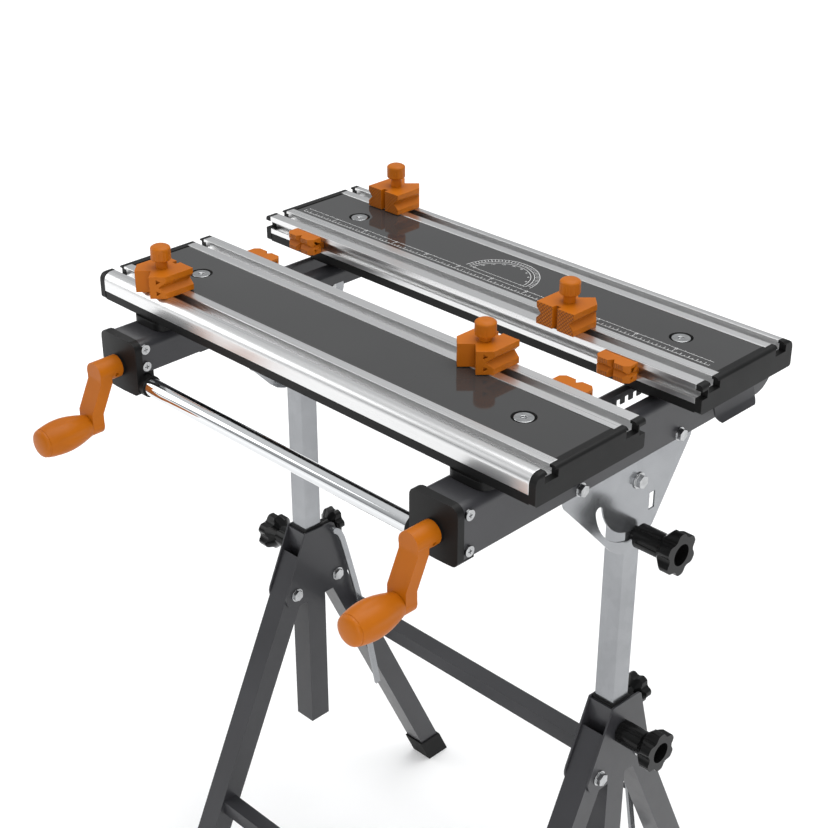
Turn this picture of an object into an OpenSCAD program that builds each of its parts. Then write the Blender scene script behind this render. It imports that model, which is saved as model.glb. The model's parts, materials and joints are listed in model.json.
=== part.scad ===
// Folding workbench with two clamping jaws, a tilting and height-adjustable top and folding legs.
// X runs along the jaws, Y from the cranks to the back, Z up from the floor.

/* [Overall] */
// Height of the jaws' top above the floor
bench_h = 900; // [870:5:940]
// Length of each jaw along X
jaw_len = 640; // [600:5:680]
// How far the front jaw's front edge lies in front of the uprights
deck_lead = 227; // [215:1:235]

/* [Jaws] */
// Width of each jaw
jaw_w = 154; // [148:1:160]
// Gap between the jaws at rest
jaw_gap = 88; // [80:1:96]
// Height of the aluminium rails
rail_h = 21; // [20:0.5:24]
// Height of the plastic base under the rails
base_h = 10; // [8:0.5:14]
// Width of the rail at the jaw's outer edge
outer_rail_w = 38.4; // [36.4:0.2:40]
// Width of the rail at the jaw's clamping edge
inner_rail_w = 37; // [36.5:0.5:39]
// Radius of the outer rail's round nose
nose_r = 10; // [8:0.5:10]
// Wall thickness of the rails
rail_wall = 2.4; // [2:0.1:2.8]
// Distance of the outer slot from the outer edge
outer_slot_at = 21.3; // [20.8:0.1:22]
// Distance of the inner slot from the clamping edge
inner_slot_at = 19.5; // [19.3:0.1:20]
// Width of a slot's mouth
slot_w = 12; // [11.6:0.1:12.6]
// Width of a slot inside
slot_room = 18; // [17.6:0.1:18.4]
// Thickness of a slot's lips
slot_lip = 3; // [2.6:0.1:3.4]
// Depth of a slot from the rail's face
slot_depth = 11; // [10.6:0.1:12]
// Depth of the side slot's centre below the rail's top
side_slot_down = 10.5; // [10.3:0.1:11]
// Width of the side slot's mouth
side_slot_w = 9; // [8.6:0.1:9.6]
// Width of the side slot inside
side_slot_room = 15; // [14.6:0.1:15.2]
// Depth of the side slot from the clamping face
side_slot_depth = 9; // [8.6:0.1:9.2]
// Thickness of the panel between the rails
panel_t = 3; // [2:0.5:5]
// How far the panel lies below the rails' top
panel_drop = 0.8; // [0.4:0.1:1.5]
// Thickness of the jaws' end caps
cap_t = 8; // [7:0.5:9]
// Radius of the end caps' upper edge
cap_round = 4; // [3:0.5:5]
// Width of the end caps' rim beside the panel
rim_w = 11; // [10:0.5:12]
// Diameter of the panel bolts' heads
disc_d = 20; // [18:0.5:22]
// Diameter of the recess round a panel bolt's head
disc_recess_d = 25; // [24:0.5:27]
// Diameter of the panel bolts
panel_bolt_d = 8; // [7:0.5:9]

/* [Beams] */
// Distance of each beam's centre from the middle
beam_x = 237.5; // [237:0.1:238]
// Width of a beam
beam_w = 56; // [55.6:0.1:56.6]
// Height of a beam's outer wall
beam_h = 55; // [52:0.5:58]
// Height of a beam's inner wall
beam_inner_h = 37; // [35:0.5:37.5]
// Thickness of the beams' sheet
sheet_t = 1.5; // [1.4:0.05:1.6]
// Radius of the beams' top corners
beam_r = 10; // [8:0.5:12]
// Length of a beam
beam_len = 486; // [480:1:492]
// How far the beams reach in front of the front jaw
beam_front = 32; // [30:0.5:34]
// Height of the glides between the jaws and the beams
glide_t = 9; // [7:0.5:12]
// Width of the slots in the beams' top
beam_slot_w = 23; // [22:0.5:24]
// Distance between the teeth along the rear slots
rack_pitch = 13.3; // [12:0.1:15]
// Depth of the toothed flange along the rear slots
rack_h = 13; // [11:0.5:15]
// Depth of a beam cap's face
cap_face_t = 10; // [9:0.5:12]
// Height of a beam cap's face below the beam's top
cap_face_h = 60; // [58:0.5:62]
// How far a beam cap's face stands over the beam's inner side
cap_over = 4; // [3:0.5:5]
// How far a beam cap's face stands over the beam's top
cap_up = 2.5; // [1.5:0.5:3]
// How far a beam cap's face swells forward
cap_swell = 1.5; // [1:0.5:3]
// Diameter of the tube between the beams
tie_d = 20; // [18:0.5:20.5]
// Depth of the tube's axis below the beams' top
tie_down = 49.2; // [49.2:0.1:50]

/* [Release levers] */
// Length of a release lever along the beam
lever_len = 71; // [66:1:76]
// Depth of a release lever's lower edge below its pin
lever_drop = 58; // [54:1:60]
// How far a release lever curls outward
lever_curl = 9; // [7:0.5:10]
// Thickness of the levers' sheet
lever_t = 2; // [1.6:0.1:2.4]
// Distance of the levers' pins from the beams' outer side
lever_out = 5.5; // [5.2:0.1:6]

/* [Cranks] */
// Depth of the lead screws below the beams' top
screw_down = 31.5; // [31:0.5:32]
// Diameter of the lead screws
screw_d = 12; // [11:0.5:13]
// Length of the lead screws behind the beams' front
screw_len = 220; // [210:1:230]
// Radius of the cranks
crank_r = 57; // [54:1:59]
// Diameter of the cranks' hubs
hub_d = 25; // [23:0.5:27]
// Length of the cranks' hubs
hub_len = 29.5; // [28:0.5:31]
// Width of the cranks' arms
arm_w = 24; // [22:0.5:24.5]
// Thickness of the cranks' arms
arm_t = 14.5; // [13.5:0.5:15.5]
// How far the cranks' arms step forward
arm_out = 15; // [13:0.5:16]
// Length of the cranks' grips
grip_len = 62; // [58:1:64]
// Largest diameter of the grips
grip_d = 38; // [34:0.5:40]
// Diameter of the grips' pins
grip_pin_d = 9; // [8:0.5:10]

/* [Tilting and height] */
// Depth of the tilt axis below the jaws' top
pivot_down = 120; // [119:0.5:123]
// Distance from the tilt axis to the tilt knobs
tilt_knob_r = 62.4; // [61:0.1:63]
// How far the arc slots reach, in degrees of tilt
tilt_max = 80; // [78:1:82]
// Thickness of the tilt plates
plate_t = 2; // [1.8:0.1:2.2]
// Diameter of the tilt pivots
pivot_d = 8; // [7:0.5:9]
// Outer width of the uprights
upright_w = 25; // [24.6:0.1:25.2]
// Wall thickness of the uprights
upright_wall = 1.5; // [1.2:0.1:2]
// Length of the uprights
upright_len = 442; // [430:1:460]
// Distance of each upright's centre from the middle
upright_x = 249; // [248.8:0.1:249.1]
// Diameter of the knobs' studs
stud_d = 8; // [7:0.5:9]
// Diameter across a knob's lobes
knob_d = 48; // [45:0.5:50]
// Length of a knob's neck
knob_neck = 30; // [26:0.5:32]
// Diameter of a knob's neck
knob_neck_d = 27; // [25:0.5:28]
// Length of the flare between a knob's neck and its head
knob_flare = 11.5; // [10:0.5:13]
// Thickness of a knob's head
knob_head = 10.5; // [9:0.5:12]

/* [Base] */
// Depth of the sleeves' top below the jaws' top
sleeve_down = 400; // [396:1:404]
// Outer width of the sleeves
sleeve_w = 30; // [29.9:0.1:30.4]
// Wall thickness of the sleeves
sleeve_wall = 1.5; // [1.3:0.1:1.5]
// Length of the sleeves
sleeve_len = 300; // [290:1:320]
// Thickness of the brackets' sheet
bracket_t = 2.4; // [2:0.1:2.6]
// Distance of the leg pivots below the sleeves' top
leg_pivot_down = 82; // [80:0.5:84]
// Distance between the front and the rear leg pivot
leg_pivot_gap = 71; // [70:0.5:73]
// Diameter of the leg pivots
leg_pivot_d = 8; // [7:0.5:9]
// Angle of the legs from upright, in degrees
leg_angle = 25; // [23:0.5:26]
// Outer width of the legs' tubes
leg_w = 29.6; // [29:0.1:29.7]
// Wall thickness of the legs' tubes
leg_wall = 1.5; // [1.2:0.1:2]
// Width of the stretchers' tubes
stretcher_w = 20; // [18:0.5:20]
// Distance of the front stretcher below the leg pivots
front_stretcher_down = 272; // [262:1:280]
// Distance of the rear stretcher below the leg pivots
rear_stretcher_down = 70.5; // [68:0.5:72]
// Thickness of the rubber feet's walls
foot_wall = 2.5; // [2:0.1:3]
// Thickness of the leg stays
stay_t = 4; // [3:0.1:4.2]
// Width of the leg stays
stay_w = 8; // [7:0.1:8.4]

/* [Bench dogs] */
// Width of a bench dog along the slot
dog_w = 50; // [46:0.5:54]
// Height of a bench dog's block
dog_h = 25; // [22:0.5:28]
// Reach of a dog's gripping face from its bolt
dog_grip = 22.5; // [20:0.5:24]
// Reach of a dog's two prongs from its bolt
dog_prong = 27; // [25:0.5:28]
// Depth of the grooves round a dog
dog_groove = 6; // [5:0.5:7]
// Diameter of a dog's knob
dog_knob_d = 22; // [20:0.5:24]
// Height of a dog's knob
dog_knob_h = 16; // [14:0.5:18]
// Width of a side dog along the slot
side_dog_w = 42; // [38:0.5:44]
// Height of a side dog
side_dog_h = 19; // [18:0.5:20]
// How far a side dog stands out from the jaw
side_dog_out = 17; // [15:0.5:18]

/* [Hidden] */
$fn = 48;

// Gap between parts that slide or turn in each other
fit = 0.05;
// Gap between faces that pass each other
gap = 0.3;
// A little more than a cut needs
eps = 1;

// Heights above the floor
beam_top = bench_h - rail_h - base_h - glide_t;
screw_z = beam_top - screw_down;
tie_z = beam_top - tie_down;
pivot_z = bench_h - pivot_down;
tilt_knob_z = pivot_z - tilt_knob_r;
sleeve_top = bench_h - sleeve_down;
leg_pivot_z = sleeve_top - leg_pivot_down;
knob_down = 37;
height_knob_z = sleeve_top - knob_down;
clamp_knob_down = 12;
clamp_knob_z = sleeve_top - clamp_knob_down;

// Reach of the cranks and of the feet, which centre the bench on its origin
cap_front = beam_front + cap_face_t;
boss_t = 1.5;
hub_gap = 0.5;
arm_back = arm_t / 2;
arm_reach = hub_len - arm_back + arm_out + arm_t / 2;
crank_front = deck_lead + cap_front + boss_t + hub_gap + arm_reach + gap + grip_len;
foot_reach = leg_pivot_gap / 2 + leg_pivot_z * tan(leg_angle) + (leg_w / 2 + foot_wall) / cos(leg_angle);
axis_y = (crank_front - foot_reach) / 2;
front_edge = axis_y - deck_lead;
rear_edge = front_edge + 2 * jaw_w + jaw_gap;
panel_w = jaw_w - outer_rail_w - inner_rail_w;
bolt_at = outer_rail_w + panel_w / 2;
front_bolt_y = front_edge + bolt_at;
rear_bolt_y = rear_edge - bolt_at;
beam_start = front_edge - beam_front;

// Side to side
beam_out = beam_x + beam_w / 2;
beam_in = beam_x - beam_w / 2;
plate_x = beam_out - sheet_t - plate_t;
cheek_out = upright_x + sleeve_w / 2 + bracket_t;
cheek_in = upright_x - sleeve_w / 2 - bracket_t;
leg_in = upright_x - leg_w / 2;

// Fasteners
washer_t = 1.5;
washer_d = 18;
hex_af = 13;
hex_h = 5.5;
thin_nut = 3;
pan_d = 11;
pan_h = 3;
small_screw_d = 4;

// Places of the bench dogs along the slots, from the jaws' ends
dog_left_x = 88 - jaw_len / 2;
dog_right_x = jaw_len / 2 - 184;
side_front_x = [89 - jaw_len / 2, jaw_len / 2 - 94];
side_rear_x = [77 - jaw_len / 2, jaw_len / 2 - 99];

orange = [0.80, 0.42, 0.10];
charcoal = [0.27, 0.27, 0.28];
black = [0.10, 0.10, 0.10];
zinc = [0.72, 0.73, 0.75];
alloy = [0.82, 0.83, 0.84];

// Outline round a ring of circles [x, y, r] that are listed anticlockwise, with the arcs in short steps
function heading(a, b) = atan2(b[1] - a[1], b[0] - a[0]);
function spacing(a, b) = norm([b[0] - a[0], b[1] - a[1]]);
function normal_to(a, b) = heading(a, b) - acos((a[2] - b[2]) / spacing(a, b));
function positive(a) = a < 0 ? a + 360 : a >= 360 ? a - 360 : a;
function around(c, steps = 6) = [
    for (i = [0 : len(c) - 1])
        let (
            before = c[(i + len(c) - 1) % len(c)],
            after = c[(i + 1) % len(c)],
            start = normal_to(before, c[i]),
            sweep = positive(normal_to(c[i], after) - start)
        )
        for (k = [0 : steps])
            [c[i][0] + c[i][2] * cos(start + sweep * k / steps),
             c[i][1] + c[i][2] * sin(start + sweep * k / steps)]
];

// Outline of a band of width w along the points p
function side_of(p, i) =
    let (
        a = i == 0 ? heading(p[0], p[1]) : heading(p[i - 1], p[i]),
        b = i == len(p) - 1 ? a : heading(p[i], p[i + 1]),
        half = (b - a) / 2
    )
    [cos(a + half + 90) / cos(half), sin(a + half + 90) / cos(half)];
function band(p, w) = concat(
    [for (i = [0 : len(p) - 1]) p[i] - side_of(p, i) * w / 2],
    [for (i = [len(p) - 1 : -1 : 0]) p[i] + side_of(p, i) * w / 2]
);

module box(from, to) {
    translate(from) cube(to - from);
}

// A rod along X, Y or Z between two places
module rod_x(x0, x1, y, z, d) {
    translate([min(x0, x1), y, z]) rotate([0, 90, 0]) cylinder(d = d, h = abs(x1 - x0));
}
module rod_y(x, y0, y1, z, d) {
    translate([x, max(y0, y1), z]) rotate([90, 0, 0]) cylinder(d = d, h = abs(y1 - y0));
}
module rod_z(x, y, z0, z1, d) {
    translate([x, y, min(z0, z1)]) cylinder(d = d, h = abs(z1 - z0));
}
module hex_x(x0, x1, y, z) {
    translate([min(x0, x1), y, z]) rotate([0, 90, 0])
        cylinder(d = hex_af / cos(30), h = abs(x1 - x0), $fn = 6);
}

// A flat shape drawn in Y and Z that stands at x and is t thick, outward from the middle
module plate_yz(x, t) {
    translate([x, 0, 0]) rotate([90, 0, 90]) linear_extrude(t) children();
}

// The right-hand side as drawn, or its mirror image on the left
module on_side(side) {
    if (side > 0) children();
    else mirror([1, 0, 0]) children();
}
module both_sides() {
    for (side = [-1, 1]) on_side(side) children();
}

// Base: a square sleeve on each side
module square_tube(w, wall, z0, z1) {
    difference() {
        translate([-w / 2, -w / 2, z0]) cube([w, w, z1 - z0]);
        translate([-w / 2 + wall, -w / 2 + wall, z0 - eps])
            cube([w - 2 * wall, w - 2 * wall, z1 - z0 + 2 * eps]);
    }
}

module sleeves() {
    color(charcoal) both_sides() difference() {
        translate([upright_x, axis_y, 0])
            square_tube(sleeve_w, sleeve_wall, sleeve_top - sleeve_len, sleeve_top);
        rod_x(upright_x, cheek_out, axis_y, height_knob_z, stud_d + 2 * fit);
        rod_y(upright_x, axis_y, axis_y + sleeve_w, clamp_knob_z, stud_d + 2 * fit);
    }
}

guide_len = 40;
guide_top = 3;
module sleeve_guides() {
    liner_w = sleeve_w - 2 * sleeve_wall - 2 * fit;
    bore = upright_w + 2 * fit;
    color(black) both_sides() difference() {
        translate([upright_x, axis_y, 0]) {
            translate([-liner_w / 2, -liner_w / 2, sleeve_top - guide_len])
                cube([liner_w, liner_w, guide_len]);
            translate([-sleeve_w / 2, -sleeve_w / 2, sleeve_top])
                cube([sleeve_w, sleeve_w, guide_top]);
        }
        translate([upright_x - bore / 2, axis_y - bore / 2, sleeve_top - guide_len - eps])
            cube([bore, bore, guide_len + guide_top + 2 * eps]);
        rod_x(upright_x, cheek_out, axis_y, height_knob_z, stud_d + 2 * fit);
        rod_y(upright_x, axis_y, axis_y + sleeve_w, clamp_knob_z, stud_d + 2 * fit);
    }
}

// A folded bracket round each sleeve: two cheeks and a web across the front
hook_y = 25.7;
hook_down = 8;
hook_d = 6;
web_h = 28;
cheek_foot_r = 17;
module cheek_shape() {
    polygon(around([
        [-leg_pivot_gap / 2 - 1, leg_pivot_z - sleeve_top - 2, cheek_foot_r],
        [leg_pivot_gap / 2 + 1, leg_pivot_z - sleeve_top - 2, cheek_foot_r],
        [hook_y, -hook_down + 1, 7],
        [-sleeve_w / 2 - bracket_t + 1, 1, 1]
    ]));
}

module brackets() {
    color(charcoal) both_sides() difference() {
        union() {
            for (x = [cheek_in, cheek_out - bracket_t])
                plate_yz(x, bracket_t) translate([axis_y, sleeve_top]) cheek_shape();
            box([cheek_in, axis_y - sleeve_w / 2 - bracket_t, sleeve_top - web_h],
                [cheek_out, axis_y - sleeve_w / 2, sleeve_top]);
        }
        for (y = [-1, 1]) rod_x(cheek_in - eps, cheek_out + eps, axis_y + y * leg_pivot_gap / 2,
            leg_pivot_z, leg_pivot_d + 2 * fit);
        rod_x(upright_x, cheek_out + eps, axis_y, height_knob_z, stud_d + 2 * fit);
        rod_x(cheek_in - eps, upright_x, axis_y + hook_y, sleeve_top - hook_down, hook_d + 2 * fit);
    }
}

module leg_pivot_bolts() {
    color(zinc) both_sides() for (y = [-1, 1]) translate([0, axis_y + y * leg_pivot_gap / 2, leg_pivot_z]) {
        rod_x(cheek_in - washer_t, cheek_out + washer_t, 0, 0, leg_pivot_d);
        for (face = [[cheek_in, -1, thin_nut], [cheek_out, 1, hex_h]]) {
            rod_x(face[0], face[0] + face[1] * washer_t, 0, 0, washer_d);
            hex_x(face[0] + face[1] * washer_t, face[0] + face[1] * (washer_t + face[2]), 0, 0);
        }
    }
}

// Legs: square tubes that turn on the brackets' bolts, drawn upright and then spread
module leg_tube(up) {
    down = leg_pivot_z / cos(leg_angle) + leg_w;
    translate([upright_x - leg_w / 2, -leg_w / 2, -down]) cube([leg_w, leg_w, down + up]);
}
module leg_hollow(up) {
    down = leg_pivot_z / cos(leg_angle) + 2 * leg_w;
    inside = leg_w - 2 * leg_wall;
    translate([upright_x - inside / 2, -inside / 2, -down]) cube([inside, inside, down + up + eps]);
}

foot_floor = 6;
foot_h = 38;
front_leg_up = 50;
rear_leg_up = 28;
module leg(dir, up) {
    difference() {
        translate([0, axis_y + dir * leg_pivot_gap / 2, leg_pivot_z])
            rotate([dir * leg_angle, 0, 0]) difference() {
            leg_tube(up);
            leg_hollow(up);
            rod_x(upright_x - leg_w, upright_x + leg_w, 0, 0, leg_pivot_d + 2 * fit);
        }
        translate([upright_x - leg_w, -jaw_len, -jaw_len])
            cube([2 * leg_w, 2 * jaw_len, jaw_len + foot_floor]);
        box([upright_x - leg_w, axis_y - sleeve_w / 2 - gap, leg_pivot_z],
            [upright_x + leg_w, axis_y + sleeve_w / 2 + gap, leg_pivot_z + up * 2]);
    }
}

module foot(dir) {
    out = leg_w + 2 * foot_wall;
    down = leg_pivot_z / cos(leg_angle) + out;
    color(black) intersection() {
        difference() {
            translate([0, axis_y + dir * leg_pivot_gap / 2, leg_pivot_z]) rotate([dir * leg_angle, 0, 0])
                translate([upright_x - out / 2, -out / 2, -down]) cube([out, out, down]);
            difference() {
                translate([0, axis_y + dir * leg_pivot_gap / 2, leg_pivot_z]) rotate([dir * leg_angle, 0, 0])
                    leg_tube(0);
                translate([0, -jaw_len, -jaw_len]) cube([jaw_len, 2 * jaw_len, jaw_len + foot_floor]);
            }
        }
        translate([0, -jaw_len, 0]) cube([jaw_len, 2 * jaw_len, foot_h]);
    }
}

front_stretcher_y = axis_y - leg_pivot_gap / 2 - front_stretcher_down * tan(leg_angle);
rear_stretcher_y = axis_y + leg_pivot_gap / 2 + rear_stretcher_down * tan(leg_angle);
tab_t = 3;
tab_up = 6;
stay_x = cheek_in - washer_t - thin_nut - gap - stay_t;
tube_end = stay_x - gap - 2;
module front_leg_frame() {
    z = leg_pivot_z - front_stretcher_down;
    half = stretcher_w / 2;
    color(charcoal) {
        both_sides() leg(-1, front_leg_up);
        difference() {
            box([-leg_in, front_stretcher_y - half, z - half],
                [leg_in, front_stretcher_y + half, z + half]);
            box([-leg_in - eps, front_stretcher_y - half + leg_wall, z - half + leg_wall],
                [leg_in + eps, front_stretcher_y + half - leg_wall, z + half - leg_wall]);
        }
    }
}

// The rear stretcher's tube stops short of the legs to let the stays pass, and a tab joins each end
stay_stud_d = 5;
module rear_leg_frame() {
    z = leg_pivot_z - rear_stretcher_down;
    half = stretcher_w / 2;
    tab_y = rear_stretcher_y + half;
    stud_y = axis_y + stay_stud[0];
    stud_z = sleeve_top + stay_stud[1];
    color(charcoal) {
        both_sides() leg(1, rear_leg_up);
        difference() {
            union() {
                box([-tube_end, rear_stretcher_y - half, z - half],
                    [tube_end, rear_stretcher_y + half, z + half]);
                box([-leg_in, tab_y, z - half + tab_up], [leg_in, tab_y + tab_t, z + half]);
            }
            box([-tube_end - eps, rear_stretcher_y - half + leg_wall, z - half + leg_wall],
                [tube_end + eps, rear_stretcher_y + half - leg_wall, z + half - leg_wall]);
        }
        both_sides() {
            rod_x(stay_x - gap - 0.5, leg_in, stud_y, stud_z, stay_stud_d);
            rod_x(stay_x - gap - 2.5, stay_x - gap, stud_y, stud_z, stay_stud_d + 5);
        }
    }
}

module front_feet() {
    both_sides() foot(-1);
}
module rear_feet() {
    both_sides() foot(1);
}

// Stays: bent bars that hang on the brackets and steady the rear legs, from the sleeves' top down
stay_stud = [80, -190];
stay_end = [99, -290];
stay_path = [
    [hook_y, -hook_down], [33, -14], [38.5, -26], [43, -42], [50, -68],
    [58.5, -100], [66, -130], stay_stud, stay_end
];
stay_slack = 3;
// Flattened end that keeps a stay's hook in its bracket
rivet_h = 1;
rivet_over = 0.6;
module leg_stays() {
    along = (stay_end - stay_stud) / norm(stay_end - stay_stud) * stay_slack / 2;
    hole_r = stay_stud_d / 2 + 0.5;
    color(zinc) both_sides() {
        plate_yz(stay_x, stay_t) translate([axis_y, sleeve_top]) difference() {
            polygon(band(stay_path, stay_w));
            polygon(around([concat(stay_stud - along, hole_r), concat(stay_stud + along, hole_r)]));
        }
        rod_x(stay_x, cheek_in + bracket_t + gap, axis_y + hook_y, sleeve_top - hook_down, hook_d);
        rod_x(cheek_in + bracket_t + gap, cheek_in + bracket_t + gap + rivet_h, axis_y + hook_y,
            sleeve_top - hook_down, hook_d + 2 * rivet_over);
    }
}

// Uprights: square tubes that carry the top
upright_top = 12;
module uprights() {
    color(zinc) both_sides() difference() {
        translate([upright_x, axis_y, 0])
            square_tube(upright_w, upright_wall, pivot_z + upright_top - upright_len, pivot_z + upright_top);
        rod_x(upright_x - upright_w, upright_x + upright_w, axis_y, pivot_z, pivot_d + 2 * fit);
        rod_x(upright_x - upright_w, upright_x + upright_w, axis_y, tilt_knob_z, stud_d + 2 * fit);
    }
}

module pivot_bolts() {
    near = upright_x - upright_w / 2;
    color(zinc) both_sides() {
        rod_x(near - 2, plate_x + plate_t + washer_t, axis_y, pivot_z, pivot_d);
        hex_x(near - hex_h, near, axis_y, pivot_z);
        rod_x(plate_x + plate_t, plate_x + plate_t + washer_t, axis_y, pivot_z, washer_d);
        hex_x(plate_x + plate_t + washer_t, plate_x + plate_t + washer_t + hex_h, axis_y, pivot_z);
    }
}

// Lobed knobs: a grooved neck that flares into a six-lobed head with a hollow, and a steel stud
lobes = 6;
lobe_curve = [
    [-30, 0], [-23, 0.12], [-16, 0.6], [-10, 0.94], [-4, 1],
    [4, 1], [10, 0.94], [16, 0.6], [23, 0.12]
];
function lobed_outline(tip, valley) = [
    for (k = [0 : lobes - 1], p = lobe_curve)
        (valley + (tip - valley) * p[1]) * [cos(k * 360 / lobes + p[0]), sin(k * 360 / lobes + p[0])]
];
module lobed_knob(neck_d, neck, flare, head, d, stud, collar = 0) {
    translate([0, 0, -stud]) cylinder(d = stud_d, h = stud + collar + neck);
    if (collar > 0) cylinder(d = 2 * stud_d, h = collar);
    translate([0, 0, collar]) {
        difference() {
            cylinder(d = neck_d, h = neck + 1);
            for (k = [0 : lobes - 1]) rotate([0, 0, (k + 0.5) * 360 / lobes])
                translate([neck_d / 2 + 0.7, 0, neck * 0.15]) cylinder(d = 3.4, h = neck, $fn = 24);
        }
        translate([0, 0, neck]) difference() {
            intersection() {
                linear_extrude(flare + head) polygon(lobed_outline(d / 2, d * 0.4));
                union() {
                    cylinder(d1 = neck_d, d2 = d + 2, h = flare);
                    translate([0, 0, flare]) cylinder(d = d + 2, h = head);
                }
            }
            translate([0, 0, flare - 2]) cylinder(d = d / 2, h = head + 2 + eps);
        }
    }
}

module height_knob(side) {
    tip = cheek_out + washer_t - upright_x - upright_w / 2 - gap;
    color(black) on_side(side) translate([cheek_out + washer_t, axis_y, height_knob_z]) rotate([0, 90, 0])
        lobed_knob(knob_neck_d, knob_neck, knob_flare, knob_head, knob_d, tip);
}
clamp_scale = 0.75;
clamp_neck = [17, hook_y + 7.5 - sleeve_w / 2 - gap];
module clamp_knob(side) {
    neck_start = sleeve_w / 2 + gap;
    tip = neck_start - upright_w / 2 - gap;
    color(black) on_side(side) translate([upright_x, axis_y + neck_start, clamp_knob_z]) rotate([-90, 0, 0])
        lobed_knob(clamp_neck[0], clamp_neck[1], knob_flare * clamp_scale, knob_head * clamp_scale,
            knob_d * clamp_scale, tip);
}
tilt_washers = 6.5;
module tilt_knob(side) {
    start = plate_x + plate_t + 2 * gap;
    color(black) on_side(side) translate([start, axis_y, tilt_knob_z]) rotate([0, 90, 0])
        lobed_knob(knob_neck_d, knob_neck, knob_flare, knob_head, knob_d,
            start - upright_x + upright_w / 2 - gap, tilt_washers);
}
module height_knob_left() { height_knob(-1); }
module height_knob_right() { height_knob(1); }
module clamp_knob_left() { clamp_knob(-1); }
module clamp_knob_right() { clamp_knob(1); }
module tilt_knob_left() { tilt_knob(-1); }
module tilt_knob_right() { tilt_knob(1); }

// Tilt plates: rounded triangles inside the beams' outer walls, with an arc slot round the pivot
plate_bolt_front = 95;
plate_bolt_rear = 62;
plate_bolt_down = 50;
plate_bolt_d = 8;
plate_over = 15;
plate_round = [-6, -38.5, 43.5];
tilt_slot_w = 10.5;
small_hex_af = 11.5;
function on_arc(r, a) = [-r * sin(a), -r * cos(a)];
module arc_slot() {
    half = tilt_slot_w / 2;
    steps = 13;
    from = [0, -tilt_knob_r];
    to = on_arc(tilt_knob_r, tilt_max);
    turn = [-cos(tilt_max), sin(tilt_max)];
    polygon(concat(
        [for (k = [0 : steps]) on_arc(tilt_knob_r + half, tilt_max * k / steps)],
        [for (k = [1 : 5]) to + half * (cos(30 * k) * to / tilt_knob_r + sin(30 * k) * turn)],
        [for (k = [steps : -1 : 0]) on_arc(tilt_knob_r - half, tilt_max * k / steps)],
        [for (k = [1 : 5]) from + half * [sin(30 * k), cos(30 * k)]]
    ));
}

module tilt_plates() {
    top_down = glide_t + base_h + rail_h + plate_bolt_down - plate_over - pivot_down;
    color(zinc) both_sides() difference() {
        plate_yz(plate_x, plate_t) translate([axis_y, pivot_z]) difference() {
            polygon(around([
                [-104, -top_down - 22, 14],
                plate_round,
                [72, -top_down - 20, 14],
                [76, -top_down - 6, 6],
                [-112, -top_down - 6, 6]
            ]));
            arc_slot();
            translate([21, -44]) square([9, 20]);
        }
        rod_x(plate_x - eps, beam_out, axis_y, pivot_z, pivot_d + 2 * fit);
        for (y = [-plate_bolt_front, plate_bolt_rear])
            rod_x(plate_x - eps, beam_out, axis_y + y, beam_top - plate_bolt_down, plate_bolt_d + 2 * fit);
    }
}

module plate_bolts() {
    color(zinc) both_sides() for (y = [-plate_bolt_front, plate_bolt_rear])
        translate([0, axis_y + y, beam_top - plate_bolt_down]) {
            rod_x(plate_x - 8, beam_out + 1, 0, 0, plate_bolt_d);
            hex_x(plate_x - 5, plate_x, 0, 0);
            rod_x(beam_out, beam_out + 1, 0, 0, 15);
            hex_small(beam_out + 1, beam_out + 6);
        }
}
module hex_small(x0, x1) {
    translate([x0, 0, 0]) rotate([0, 90, 0]) cylinder(d = small_hex_af / cos(30), h = x1 - x0, $fn = 6);
}

// Beams: folded sheet, open below, with a slot for each jaw and teeth along the rear slot
module round_top(w, h, r) {
    translate([-w / 2, -h]) square([w, h - r]);
    translate([-w / 2 + r, -h]) square([w - 2 * r, h]);
    for (s = [-1, 1]) translate([s * (w / 2 - r), -r]) circle(r);
}

front_slot = [12, jaw_w + 12];
rear_slot = [jaw_w + jaw_gap - 29, 2 * jaw_w + jaw_gap + 18];
low_wall_h = 19;
tail_r = 30;
module tail_corner() {
    polygon(concat(
        [[-tail_r, -eps], [eps, -eps]],
        [[eps, tail_r]],
        [for (k = [0 : 10]) [-tail_r * (1 - cos(9 * k)), tail_r * (1 - sin(9 * k))]]
    ));
}
module beam(side) {
    color(charcoal) on_side(side) difference() {
        union() {
            difference() {
                translate([beam_x, beam_start + beam_len, beam_top])
                    rotate([90, 0, 0]) linear_extrude(beam_len)
                    difference() {
                        round_top(beam_w, beam_h, beam_r);
                        translate([0, -sheet_t]) round_top(beam_w - 2 * sheet_t, beam_h, beam_r - sheet_t);
                        translate([-beam_w, -2 * beam_h]) square([beam_w, 2 * beam_h - beam_inner_h]);
                    }
                for (s = [front_slot, rear_slot])
                    box([beam_x - beam_slot_w / 2, front_edge + s[0], beam_top - beam_r],
                        [beam_x + beam_slot_w / 2, front_edge + s[1], beam_top + eps]);
            }
            rack();
        }
        box([beam_in - eps, front_edge + rear_slot[0] - 12, beam_top - beam_h],
            [beam_in + 2 * sheet_t, beam_start + beam_len + eps, beam_top - low_wall_h]);
        plate_yz(beam_in - eps, beam_w + 2 * eps)
            translate([beam_start + beam_len, beam_top - beam_h]) tail_corner();
        for (y = [-plate_bolt_front, plate_bolt_rear])
            rod_x(beam_x, beam_out + eps, axis_y + y, beam_top - plate_bolt_down, plate_bolt_d + 2 * fit);
        cap_screw_holes();
    }
}

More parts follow.
